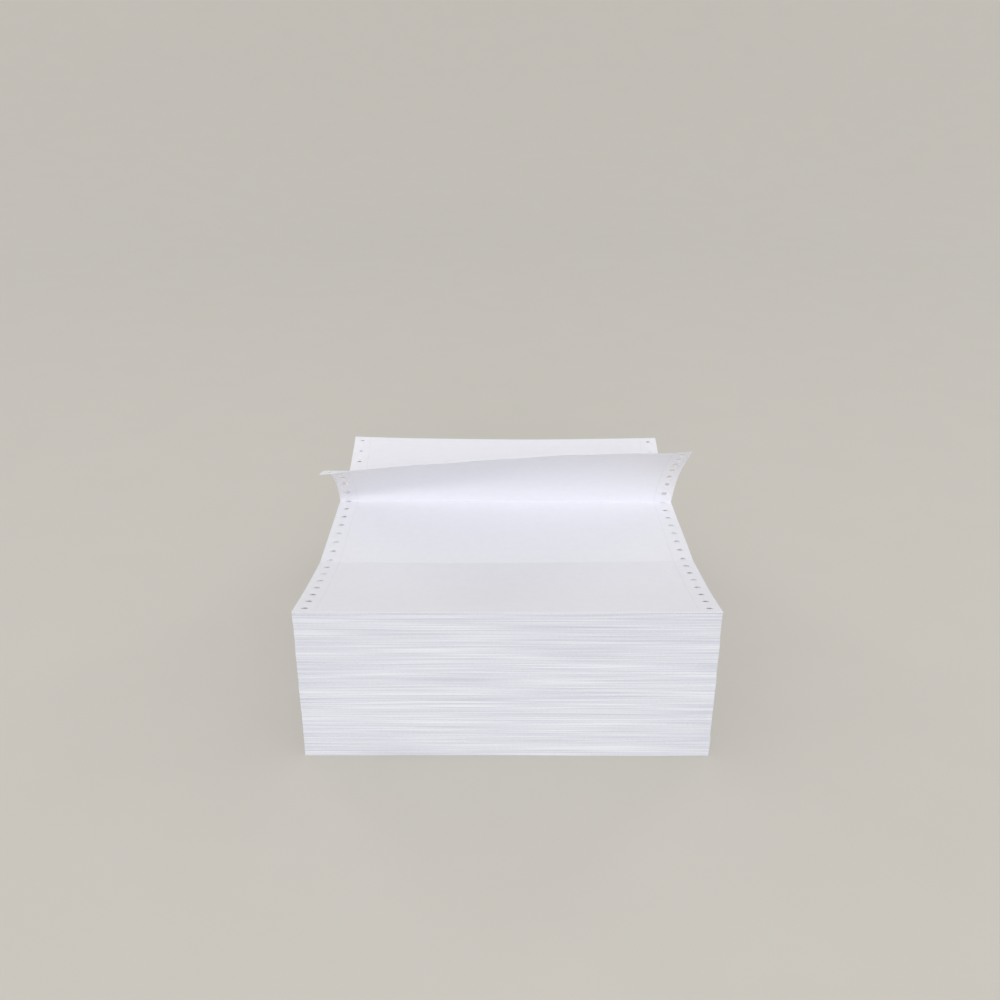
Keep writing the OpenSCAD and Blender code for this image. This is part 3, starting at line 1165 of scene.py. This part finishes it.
class FORMSTACK_OT_stage(Operator):
    """Build the floor and backdrop, the lights and the camera"""

    bl_idname = "formstack.stage"
    bl_label = "Stage"

    def execute(self, context):
        material = matt_floor(context.scene.finish_colours)
        floor = self.round_sheet("studio_floor", [(0, 0), (FLOOR_RADIUS, 0)], material)
        turns = np.linspace(0, math.pi / 2, BACKDROP_STEPS + 1)
        rise = [
            (FLOOR_RADIUS + BACKDROP_RISE * math.sin(a), BACKDROP_RISE * (1 - math.cos(a)))
            for a in turns
        ]
        backdrop = self.round_sheet("studio_backdrop", rise, material)
        backdrop.visible_diffuse = backdrop.visible_glossy = backdrop.visible_shadow = False
        self.add_lights(context.scene)
        self.add_camera(context.scene)
        return {"FINISHED"}

    def round_sheet(self, name, profile, material):
        """A surface of revolution round the object, from a profile of radius and height."""
        mesh = bpy.data.meshes.new(name)
        turns = [2 * math.pi * k / ROUND_STEPS for k in range(ROUND_STEPS)]
        points = [(r * math.cos(a), r * math.sin(a), z) for r, z in profile if r > 0 for a in turns]
        faces = [list(range(ROUND_STEPS))] if profile[0][0] == 0 else []
        rings = len(points) // ROUND_STEPS
        for ring in range(rings - 1):
            for k in range(ROUND_STEPS):
                k2 = (k + 1) % ROUND_STEPS
                low, high = ring * ROUND_STEPS, (ring + 1) * ROUND_STEPS
                faces.append([low + k, low + k2, high + k2, high + k])
        mesh.from_pydata(points, [], faces)
        mesh.polygons.foreach_set("use_smooth", [True] * len(faces))
        mesh.materials.append(material)
        sheet = bpy.data.objects.new(name, mesh)
        bpy.context.scene.collection.objects.link(sheet)
        return sheet

    def add_lights(self, scene):
        self.add_lamp("front_key", KEY_HEIGHT, KEY_ASIDE, KEY_WIDTH, KEY_LIGHT)
        self.add_lamp("soft_fill", FILL_HEIGHT, 0, FILL_WIDTH, FILL_LIGHT)
        self.add_lamp("back_left", BACK_HEIGHT, -BACK_ASIDE, BACK_WIDTH, BACK_LIGHT)
        self.add_lamp("back_right", BACK_HEIGHT, BACK_ASIDE, BACK_WIDTH, BACK_LIGHT)
        world = bpy.data.worlds.new("soft_sky")
        world.use_nodes = True
        world.node_tree.nodes.clear()
        sky = add_node(
            world.node_tree, "ShaderNodeBackground", {}, {"Color": (1, 1, 1, 1), "Strength": SKY_STRENGTH},
        )
        add_node(world.node_tree, "ShaderNodeOutputWorld", {}, {"Surface": sky})
        scene.world = world

    def add_lamp(self, name, height, aside, width, light):
        """A round lamp turned to the crease. light is what it gives there, in watts a square metre."""
        shape = web_shape()
        lamp = bpy.data.lights.new(name, "AREA")
        lamp.shape = "DISK"
        lamp.size = width
        lamp.energy = light * math.pi * LAMP_DISTANCE**2
        holder = bpy.data.objects.new(name, lamp)
        holder.rotation_euler = Euler((math.radians(90 - height), 0, math.radians(aside)))
        crease = Vector((0, shape.crease_y, shape.height))
        holder.location = crease + holder.rotation_euler.to_matrix() @ Vector((0, 0, LAMP_DISTANCE))
        holder.visible_camera = False
        bpy.context.scene.collection.objects.link(holder)

    def add_camera(self, scene):
        shape = web_shape()
        lens = bpy.data.cameras.new("photo_view")
        lens.sensor_width = SENSOR_WIDTH
        lens.lens = SENSOR_WIDTH * FOCAL_PIXELS / PICTURE_PIXELS
        lens.clip_start = 0.01
        camera = bpy.data.objects.new("photo_view", lens)
        camera.location = Vector((0, shape.crease_y, shape.height)) + CAMERA_FROM_CREASE
        camera.rotation_euler = Euler((math.radians(90 - CAMERA_PITCH), 0, math.radians(CAMERA_YAW)))
        scene.collection.objects.link(camera)
        scene.camera = camera


class FORMSTACK_PT_panel(Panel):
    """Sizes, colours and buttons of the form stack"""

    bl_idname = "FORMSTACK_PT_panel"
    bl_label = "Form Stack"
    bl_space_type = "VIEW_3D"
    bl_region_type = "UI"
    bl_category = "Form Stack"

    def draw(self, context):
        for group in (context.scene.form_sizes, context.scene.stack_sizes,
                      context.scene.raised_sizes, context.scene.finish_colours):
            box = self.layout.box()
            for name in group.bl_rna.properties.keys():
                if name not in ("rna_type", "name"):
                    box.prop(group, name)
        for operator in OPERATORS:
            self.layout.operator(operator.bl_idname)


GROUPS = {
    "form_sizes": FormSizes,
    "stack_sizes": StackSizes,
    "raised_sizes": RaisedSizes,
    "finish_colours": FinishColours,
}
OPERATORS = (FORMSTACK_OT_upper_leaves, FORMSTACK_OT_folded_leaves, FORMSTACK_OT_stage)


def register():
    for cls in (*GROUPS.values(), *OPERATORS, FORMSTACK_PT_panel):
        bpy.utils.register_class(cls)
    for name, group in GROUPS.items():
        setattr(bpy.types.Scene, name, PointerProperty(type=group))


def unregister():
    for name in GROUPS:
        delattr(bpy.types.Scene, name)
    for cls in reversed((*GROUPS.values(), *OPERATORS, FORMSTACK_PT_panel)):
        bpy.utils.unregister_class(cls)


def main():
    register()
    bpy.context.scene.view_settings.view_transform = "Standard"
    bpy.ops.formstack.upper_leaves()
    bpy.ops.formstack.folded_leaves()
    bpy.ops.formstack.stage()


if __name__ == "__main__":
    main()
